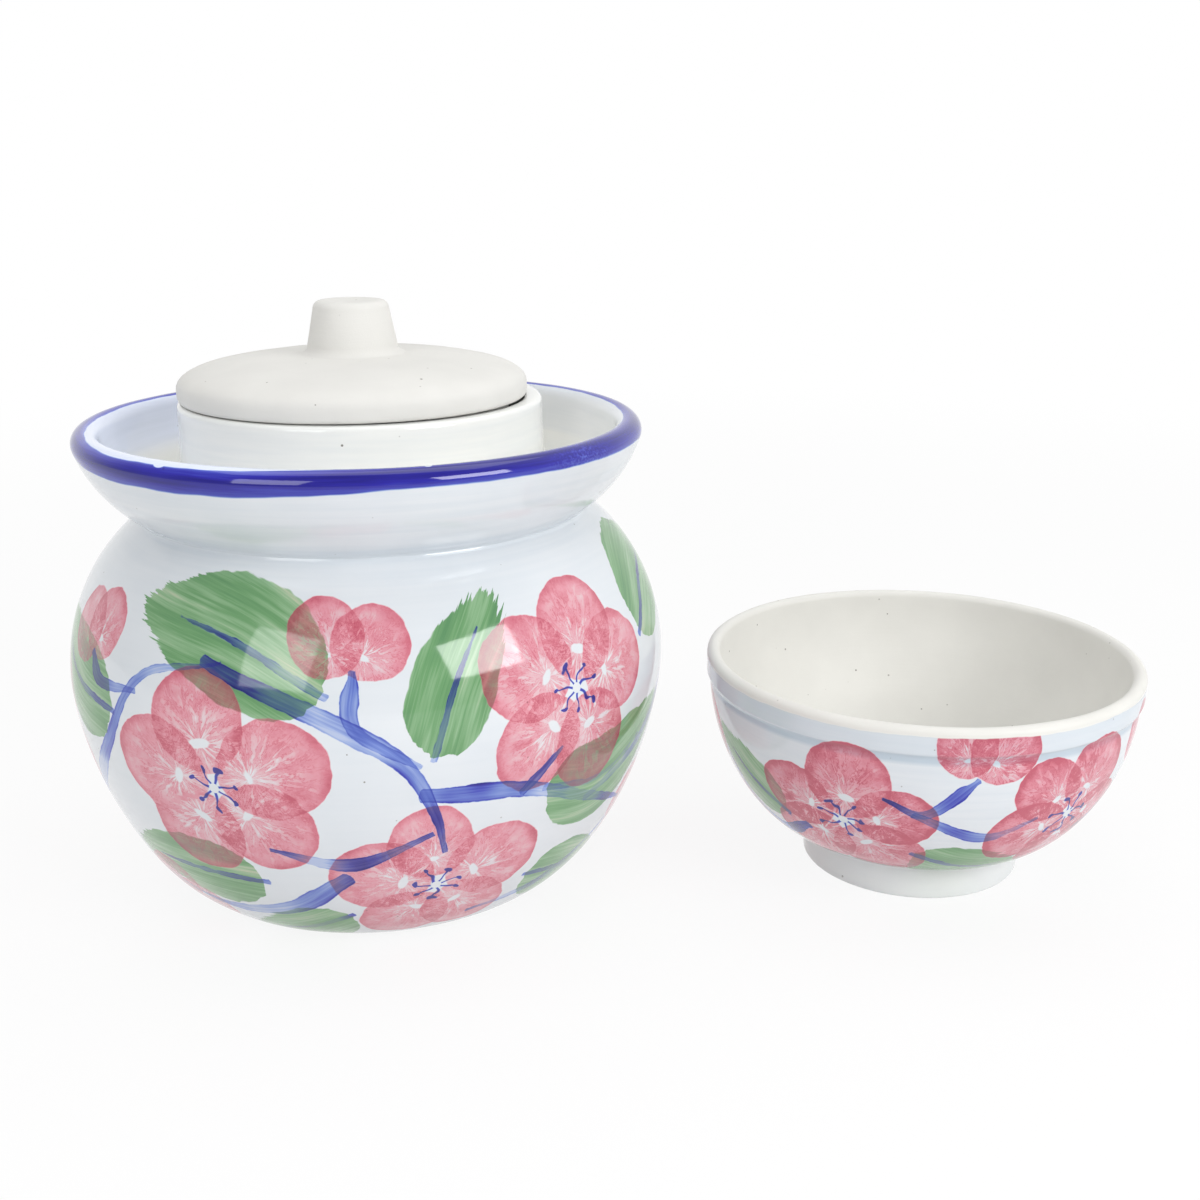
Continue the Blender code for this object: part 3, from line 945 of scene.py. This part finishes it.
def cobalt_lines(add, spot, number):
    """How thick the cobalt lies in one layer of brush lines, from 0 to 1."""
    line, gap = stored(add, f"line_{number}"), stored(add, f"line_gap_{number}", "Fac")
    _, beside, width = add("SeparateXYZ", line).outputs
    beside = add("ABSOLUTE", beside)
    edge = add("MAXIMUM", add("SUBTRACT", beside, width), add("SUBTRACT", gap, 0.9))
    inside = ragged(add, spot, edge, 4, 3.0, 1.1, (-0.2, 0.12))
    streak = streaks(add, line, (22, 0.8, ENDLESS), 3.0)
    load = add("TexNoise", spot, 1 / 22, 1.0)
    rim = add("MapRange", add("DIVIDE", beside, width), 0.68, 1.0, 0, 0.22, **SMOOTH)
    ink = add("MULTIPLY_ADD", streak, 0.5, add("MULTIPLY", load, 1.9))
    ink = add("SUBTRACT", add("ADD", ink, rim), 0.74, use_clamp=True)
    return add("MULTIPLY", add("MAXIMUM", ink, 0.17), inside)


def stamens(add, spot):
    """Fine cobalt stamens with dotted ends, round the middle of each blossom."""
    right, above, distance = add("SeparateXYZ", stored(add, "heart")).outputs
    angle = add("ARCTAN2", above, right)
    angle = add("MULTIPLY_ADD", add("TexNoise", spot, 1 / 6, 1.0), 1.3, angle)
    away = add("VectorMath LENGTH", add("CombineXYZ", right, above))
    spoke = add("ABSOLUTE", add("SINE", add("MULTIPLY", angle, STAMENS / 2)))
    spoke = add("MULTIPLY", add("MULTIPLY", spoke, away), 2 / STAMENS)
    reach = add("MULTIPLY_ADD", add("TexNoise", spot, 1 / 9, 1.0), 7.0, 3.6)
    past = add("SUBTRACT", away, reach)
    dot = add("VectorMath LENGTH", add("CombineXYZ", add("ABSOLUTE", past), spoke))
    dot = add("SUBTRACT", dot, 0.95)
    thread = add("MAXIMUM", add("SUBTRACT", spoke, 0.30), past)
    thread = add("MAXIMUM", thread, add("SUBTRACT", 1.6, away))
    mark = add("MAXIMUM", add("MINIMUM", thread, dot), add("SUBTRACT", distance, 12.0))
    return add("MapRange", mark, -0.12, 0.15, 0.72, 0, **SMOOTH)


def moat_painted_light_share(add, ring):
    """How much painted light lies on the moat's wall, as a brighter, bluer colour: most on the left."""
    side, _, along = add("SeparateXYZ", ring).outputs
    near = add("MapRange", along, -17.0, -7.0, **SMOOTH)
    left = add("MapRange", side, 40.0, -40.0, 0.15, 1.0, **SMOOTH)
    return add("MULTIPLY", add("MULTIPLY", near, left), add("LESS_THAN", along, BAND_END - 2))


def rim_band(add, spot, ring):
    """How thick the cobalt lies on the rolled lip: brushed on as the jar turned on the wheel."""
    along = add("SeparateXYZ", ring).outputs[2]
    wander = add("SUBTRACT", add("TexNoise", spot, 1 / 16, 2.0), 0.5)
    shifted = add("MULTIPLY_ADD", wander, 1.2, along)
    dip = from_place(add, ring, DIPPED, 0, (1, 1, 0))
    dip = add("MapRange", dip, 15.0, 72.0, -DIP, 0, **SMOOTH)
    start = add("ADD", shifted, dip)
    shifted = add("MULTIPLY_ADD", dip, 0.65, shifted)
    inner = add("MapRange", start, BAND_START, BAND_START + 0.6, **SMOOTH)
    outer = add("MapRange", shifted, BAND_END, BAND_END - 0.7, **SMOOTH)
    inside = add("MULTIPLY", inner, outer)
    streak = streaks(add, ring, (35, 35, 1.3), 3.0, Roughness=0.55)
    below = add("MapRange", shifted, BAND_END - 4, BAND_END, 0, 0.30)
    above = add("MapRange", start, BAND_START, BAND_START + 3.5, 0.32, 0)
    ink = add("MULTIPLY_ADD", streak, 0.5, 0.70)
    ink = add("SUBTRACT", ink, below)
    ink = add("SUBTRACT", ink, above, use_clamp=True)

    # One stretch of the band is broken by flecks, and nicks are left where the brush was lifted.
    # The finest flecks are drawn coarser than they are, 0.7 mm apart.
    broken = from_place(add, ring, FLECKED, BAND_END - 4, (0.5, 0.5, 1))
    broken = add("MapRange", broken, 1, 8, 0.26, 0)
    fleck = add("MapRange", add("TexNoise", spot, 1 / 0.7, 2.0), 0.42, 0.66)
    ink = add("SUBTRACT", ink, add("MULTIPLY", fleck, broken), use_clamp=True)
    for turned, out, size, slim in NICKS:
        nick = from_place(add, ring, turned, out, (slim, slim, 1))
        inside = add("MULTIPLY", inside, add("MapRange", nick, size * 0.8, size))
    ink = add("MULTIPLY", ink, inside)

    # In the fire a little of the cobalt ran down into the moat's glaze.
    run = add("MapRange", along, BAND_START - 11, BAND_START, 0, 0.02)
    run = add("MULTIPLY", run, add("LESS_THAN", start, BAND_START + 1))
    return add("MAXIMUM", ink, run)


def painted_glaze(name, colours, banded, loaded):
    """Clear glaze over underglaze paint on white clay: glossy, a little blue where it is thick.

    Loaded is how much rose the sponge carried, against the jar's.
    """
    material, add, spot = new_material(name)
    pool, cream_and_painted_light = stored(add, "pool", "Fac"), stored(add, "cream_and_painted_light", "Fac")
    ring = stored(add, "turned")
    along = add("SeparateXYZ", ring).outputs[2]
    glaze = (*colours.glaze, 1)

    # The glaze lies in clouds, and is thicker in the shallow rings, 2 mm apart, that fingers left.
    # The belly was wiped smooth.
    cloud = add("TexNoise", spot, 1 / 30, 2.0)
    thin = add("MapRange", cream_and_painted_light, 0, 1, 1.0, 0.25)
    thick = add("MULTIPLY", add("MapRange", cloud, 0.35, 0.65, 0, 0.14), thin)
    groove = streaks(add, ring, (45, 45, 2), 3.0)
    wiped = add("MULTIPLY", add("MapRange", along, 40.0, 65.0, 0.20, 0.06), thin)
    deep = add("MapRange", groove, 0.38, 0.68, 0, wiped)
    # The cream colour lies first: partly thin glaze, partly painted light where the moat, collar and bowl's
    # foot lie in shade.
    layers = [(cream_and_painted_light, colours.cream_and_painted_light), (pool, colours.pooled)]
    # Painted light on the moat's wall: a brighter, bluer colour, most on the left.
    if banded:
        layers.append((moat_painted_light_share(add, ring), colours.moat_painted_light))
    layers += [(thick, colours.pooled), (deep, colours.pooled), (specks(add, spot, 0.14), colours.speck)]
    body = glaze
    for share, shade in layers:
        body = add("Mix", share, body, (*shade, 1), **COLOUR)

    for number in range(LEAVES_DEEP):
        cover, green = brushed_leaf(add, spot, number)
        body = add("Mix", cover, body, green, **COLOUR)
    # Where dabs lie over one another, a share of the thinner one darkens the thicker one.
    doubled = 0.24
    rose = sponge_dabs(add, spot, 0)
    for number in range(1, DABS_DEEP):
        over = sponge_dabs(add, spot, number)
        rose = add("MULTIPLY_ADD", add("MINIMUM", rose, over), doubled, add("MAXIMUM", rose, over))
    rose = add("MULTIPLY", rose, loaded, use_clamp=True)
    coats = [(rose, ROSE), *((cobalt_lines(add, spot, number), COBALT) for number in range(STROKES_DEEP))]
    coats.append((stamens(add, spot), COBALT))
    if banded:
        coats.append((rim_band(add, spot, ring), COBALT))
    # Each pigment stains what is under it, and hides a share of it where it is thick.
    hiding = 0.45
    for ink, ramp in coats:
        under = add("Mix", add("MULTIPLY", ink, hiding), body, glaze, **COLOUR)
        stain = add("ValToRGB", ink, stops=ramp)
        body = add("Mix", 1.0, under, stain, blend_type="MULTIPLY", **COLOUR)

    gloss = 0.07
    peel = add("TexNoise", spot, 1 / 6, 2.0)
    ribs = add("MapRange", cream_and_painted_light, 0, 1, 0.45, 2.4)
    relief = add("MULTIPLY_ADD", groove, ribs, peel)
    bump = add("Bump", Strength=0.2, Distance=0.1 * MM, Height=relief)
    if not banded:
        # The lip was dipped in wax, which kept the glaze off it in a slightly wavy line.
        wave = add("MULTIPLY_ADD", peel, 0.7, add("MULTIPLY_ADD", cloud, 1.4, along))
        glazed = add("MapRange", wave, WAX_LINE - 0.2, WAX_LINE + 0.2, **SMOOTH)
        body = add("Mix", glazed, (*colours.well, 1), body, **COLOUR)
        gloss = add("MapRange", glazed, 0, 1, 0.6, gloss)
    return coat(material, Base_Color=body, Normal=bump, Roughness=gloss, IOR=1.58)


def bare_clay(name, clay, speck, gloss, grain):
    """Fired clay without glaze: matte and faintly grainy, with turning lines and iron specks."""
    material, add, spot = new_material(name)
    cloud = add("TexNoise", spot, 1 / 18, 3.0)
    tone = add("MapRange", cloud, 0.3, 0.7, 0.97, 1.02)
    body = add("Mix", 1.0, (*clay, 1), tone, blend_type="MULTIPLY", **COLOUR)
    body = add("Mix", specks(add, spot, 0.45), body, (*speck, 1), **COLOUR)
    # The clay's sand is finer than this; it is drawn half a millimetre apart, so that it doesn't flicker.
    sand = add("TexNoise", spot, 1 / 0.5, 3.0)
    groove = streaks(add, stored(add, "turned"), (50, 50, 1.1), 3.0)
    relief = add("MULTIPLY_ADD", groove, 1.2, sand)
    bump = add("Bump", Strength=grain, Distance=0.1 * MM, Height=relief)
    return coat(material, Base_Color=body, Normal=bump, Roughness=gloss, IOR=1.5)


def leave_bare(piece, bare):
    """Give the piece's second material to the faces whose points are all bare."""
    corners = np.zeros(len(piece.data.loops), np.int32)
    piece.data.loops.foreach_get("vertex_index", corners)
    for face in piece.data.polygons:
        if all(bare[corners[face.loop_start : face.loop_start + face.loop_total]]):
            face.material_index = 1


def finish_piece(piece, body, node):
    """Hand the piece over to the frame: what it moves with and what it replaces."""
    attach(piece, body)
    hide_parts(node)


class CROCK_OT_jar(bpy.types.Operator):
    """Turn the jar and paint its belly and rim"""

    bl_idname = "crock.jar"
    bl_label = "Painted jar"

    def execute(self, context):
        sizes, colours = context.scene.crock_jar, context.scene.crock_colours
        outline = jar_outline(sizes)
        piece, points, rings = turn("painted_jar", outline, sizes.steps)
        floor_end = outline.ends("moat")[1]
        collar_start, collar_end = outline.ends("collar")
        waist_start, waist_end = outline.ends("waist")
        # Glaze runs thick in the waist and in the moat's corner. Collar and moat take the lighter cream
        # colour, which is partly thin glaze and partly painted light where they lie in shade.
        pools = ((waist_start - 5, waist_end - 0.5, 2, 0.25), (floor_end - 1, floor_end + 4, 4, 0.12))
        creams_and_painted_light = (
            (collar_start - 12, collar_end - 3, 6, 0.65),
            (collar_end - 3, floor_end + 8.4, 3, 1.0),
            (floor_end + 2, 3, 5, 0.75),
        )
        store_rings(piece, points, rings, outline, pools, creams_and_painted_light)
        wall = Wall(points, rings, outline, ["belly"], JAR_FRONT)
        paint(piece, wall, JAR_BLOSSOMS, JAR_HALF_OPEN, JAR_LEAVES, JAR_LINES)
        # The clay gives less near the foot, which stands flat, and the collar, which carries the lid.
        height, room = points[:, 2], sizes.collar_top - points[:, 2]
        give = np.minimum(np.clip(height / (6 * MM), 0, 1), np.clip(room / (8 * MM), 0.15, 1))
        hand_turned(piece, 34 * MM, 0.45 * MM, give)
        piece.data.materials.append(painted_glaze("glazed_stoneware_jar", colours, True, 1.0))
        foot = bare_clay("bisque_stoneware_foot", colours.well, colours.speck, 0.7, 0.35)
        piece.data.materials.append(foot)
        first, last = outline.span("ring")
        leave_bare(piece, (rings >= first) & (rings <= last))
        finish_piece(piece, "jar", "jar")
        return {"FINISHED"}


class CROCK_OT_lid(bpy.types.Operator):
    """Turn the bare clay inner lid"""

    bl_idname = "crock.lid"
    bl_label = "Inner lid"

    def execute(self, context):
        sizes, colours = context.scene.crock_lid, context.scene.crock_colours
        outline = lid_outline(sizes)
        piece, points, rings = turn("turned_lid", outline, sizes.steps)
        store_rings(piece, points, rings, outline)
        hand_turned(piece, 20 * MM, 0.25 * MM, np.clip((points[:, 2] - sizes.seat) / (3 * MM), 0.1, 1))
        clay = bare_clay("bisque_stoneware", colours.bisque, colours.speck, 0.85, 0.35)
        piece.data.materials.append(clay)
        finish_piece(piece, "lid", "inner_lid")
        return {"FINISHED"}


class CROCK_OT_bowl(bpy.types.Operator):
    """Turn the cover bowl and paint its wall"""

    bl_idname = "crock.bowl"
    bl_label = "Cover bowl"

    def execute(self, context):
        sizes, colours = context.scene.crock_bowl, context.scene.crock_colours
        outline = bowl_outline(sizes)
        piece, points, rings = turn("painted_bowl", outline, sizes.steps)
        start, end = outline.ends("wall")
        pools = ((-1, start, 1, 0.3), (start - 2.6, start + 0.6, 1.2, 1.0), (end - 2, end + 1, 2, 0.3))
        # The bowl's foot takes some of the lighter cream colour, as painted light in the shade near the
        # floor.
        store_rings(piece, points, rings, outline, pools, ((end - 1, end + 20, 3, 0.4),))
        wall = Wall(points, rings, outline, ["band", "wall"], BOWL_FRONT)
        paint(piece, wall, BOWL_BLOSSOMS, BOWL_HALF_OPEN, BOWL_LEAVES, BOWL_LINES)
        piece.data.materials.append(painted_glaze("glazed_stoneware_bowl", colours, False, 1.24))
        well = bare_clay("bisque_stoneware_well", colours.well, colours.speck, 0.55, 0.2)
        piece.data.materials.append(well)
        # Glaze covers the outside only, from the lip's outer edge down to the foot.
        leave_bare(piece, rings <= outline.span("band")[0])
        leave_bare(piece, rings >= outline.span("foot")[1])
        hand_turned(piece, 30 * MM, 0.35 * MM, np.clip(points[:, 2] / (6 * MM), 0, 1))
        finish_piece(piece, "bowl", "cover_bowl")
        return {"FINISHED"}


# Soft boxes: direction and height above the horizon, width and height, all in degrees, and radiance.
LAMPS = (
    ("soft_box_right", -39, 24, 28, 20, 8.0),
    ("soft_box_left", -118, 27, 25, 28, 3.2),
    ("soft_box_top", 90, 82, 62, 38, 1.15),
)
# How far the lamps stand from the jar's middle, and how high that is, in metres.
LAMP_DISTANCE = 1.2
LAMP_TARGET = 0.09
# How far the camera stands right of the frame's middle, in metres.
CAMERA_SIDE = -0.0038


def lamp(name, azimuth, elevation, width, height, radiance):
    """A soft box that faces the jar from a direction; its width and height are angles."""
    azimuth, elevation = math.radians(azimuth), math.radians(elevation)
    flat = math.cos(elevation)
    away = np.array((flat * math.cos(azimuth), flat * math.sin(azimuth), math.sin(elevation)))
    light = bpy.data.lights.new(name, "AREA")
    light.shape = "RECTANGLE"
    light.size = 2 * LAMP_DISTANCE * math.tan(math.radians(width / 2))
    light.size_y = 2 * LAMP_DISTANCE * math.tan(math.radians(height / 2))
    light.energy = radiance * math.pi * light.size * light.size_y
    holder = bpy.data.objects.new(name, light)
    holder.location = np.array(((jar_low.x + jar_high.x) / 2, 0, LAMP_TARGET)) + LAMP_DISTANCE * away
    holder.rotation_euler = (math.pi / 2 - elevation, 0, azimuth + math.pi / 2)
    bpy.context.scene.collection.objects.link(holder)


class CROCK_OT_stage(bpy.types.Operator):
    """Set the pale floor, the soft boxes and the camera"""

    bl_idname = "crock.stage"
    bl_label = "Floor, lamps and camera"

    def execute(self, context):
        scene, sizes = context.scene, context.scene.crock_stage
        bpy.ops.object.select_all(action="DESELECT")
        under = (0, 0, -0.05 * MM)
        bpy.ops.mesh.primitive_circle_add(vertices=96, radius=12, fill_type="NGON", location=under)
        floor = context.object
        floor.name = "floor"
        bpy.ops.object.transform_apply(location=True)
        floor.data.materials.append(floor_material())
        for box in LAMPS:
            lamp(*box)
        world_light(scene)
        camera = bpy.data.cameras.new("camera")
        camera.sensor_width = 36
        camera.lens = sizes.lens / MM
        camera.clip_start = 0.01
        eye = bpy.data.objects.new("camera", camera)
        eye.location = (CAMERA_SIDE, -sizes.distance, sizes.height)
        eye.rotation_euler = (math.pi / 2 - sizes.pitch, 0, 0)
        scene.collection.objects.link(eye)
        scene.camera = eye
        scene.view_settings.view_transform = "Standard"
        return {"FINISHED"}


def floor_material():
    """White paper: matte, and lit evenly far from the crock, so that its edge can't be seen."""
    material, add, spot = new_material("white_paper")
    tree = material.node_tree
    glow, rays = add("Emission", Strength=1.0), add("LightPath")
    # Where the paper starts to glow evenly and where it does so fully, in millimetres.
    far = add("MapRange", add("VectorMath LENGTH", spot), 350, 1100, 0.88, 1.0, **SMOOTH)
    seen = add("MAXIMUM", rays.outputs["Is Camera Ray"], rays.outputs["Is Glossy Ray"])
    both = add("MixShader", add("MULTIPLY", seen, far), tree.nodes["Principled BSDF"], glow)
    connect(tree, tree.nodes["Material Output"], {"Surface": both})
    return coat(material, Base_Color=linear("#EEEEEE"), Roughness=1.0, Specular_IOR_Level=0.0)


def world_light(scene):
    """A white studio: lit from the front, with a backdrop that is white where it is seen or mirrored."""
    world = scene.world = bpy.data.worlds.new("white_studio")
    world.use_nodes = True
    tree = world.node_tree
    add = partial(add_node, tree)
    side, front, _ = add("SeparateXYZ", add("TexCoord").outputs["Generated"]).outputs
    side = add("MULTIPLY_ADD", side, 0.25, front)
    lit, mirrored = (
        add("MapRange", side, -0.25, 0.45, low, high, **SMOOTH) for low, high in ((0.49, 0.80), (0.45, 1.0))
    )
    rays = add("LightPath")
    strength = add("Mix", rays.outputs["Is Glossy Ray"], lit, mirrored)
    strength = add("MAXIMUM", strength, rays.outputs["Is Camera Ray"])
    connect(tree, tree.nodes["Background"], {"Strength": strength, "Color": (1, 1, 1, 1)})


# What the sidebar shows: the sizes' name on the scene, their title and class, and the operator.
PARTS = (
    ("crock_colours", "Colours", CrockColours, ""),
    ("crock_jar", "Jar", CrockJarSizes, "crock.jar"),
    ("crock_lid", "Inner lid", CrockLidSizes, "crock.lid"),
    ("crock_bowl", "Cover bowl", CrockBowlSizes, "crock.bowl"),
    ("crock_stage", "Stage", CrockStageSizes, "crock.stage"),
)


class CROCK_PT_panel(bpy.types.Panel):
    """Sizes and colours of the crock, and a button for each piece"""

    bl_idname = "CROCK_PT_panel"
    bl_label = "Kimchi crock"
    bl_space_type = "VIEW_3D"
    bl_region_type = "UI"
    bl_category = "Crock"

    def draw(self, context):
        for name, title, _, operator in PARTS:
            box = self.layout.box()
            box.label(text=title)
            group = getattr(context.scene, name)
            for key in group.bl_rna.properties.keys():
                if key not in ("rna_type", "name"):
                    box.prop(group, key)
            if operator:
                box.operator(operator)


OPERATORS = (CROCK_OT_jar, CROCK_OT_lid, CROCK_OT_bowl, CROCK_OT_stage)
CLASSES = (*[group for _, _, group, _ in PARTS], *OPERATORS, CROCK_PT_panel)


def register():
    """Register the classes and hang the sizes on the scene."""
    for one in CLASSES:
        bpy.utils.register_class(one)
    for name, _, group, _ in PARTS:
        setattr(bpy.types.Scene, name, PointerProperty(type=group))


def unregister():
    """Undo register."""
    for name, *_ in PARTS:
        delattr(bpy.types.Scene, name)
    for one in reversed(CLASSES):
        bpy.utils.unregister_class(one)


def main():
    """Make every piece and the stage."""
    register()
    bpy.ops.crock.jar()
    bpy.ops.crock.lid()
    bpy.ops.crock.bowl()
    bpy.ops.crock.stage()


if __name__ == "__main__":
    main()
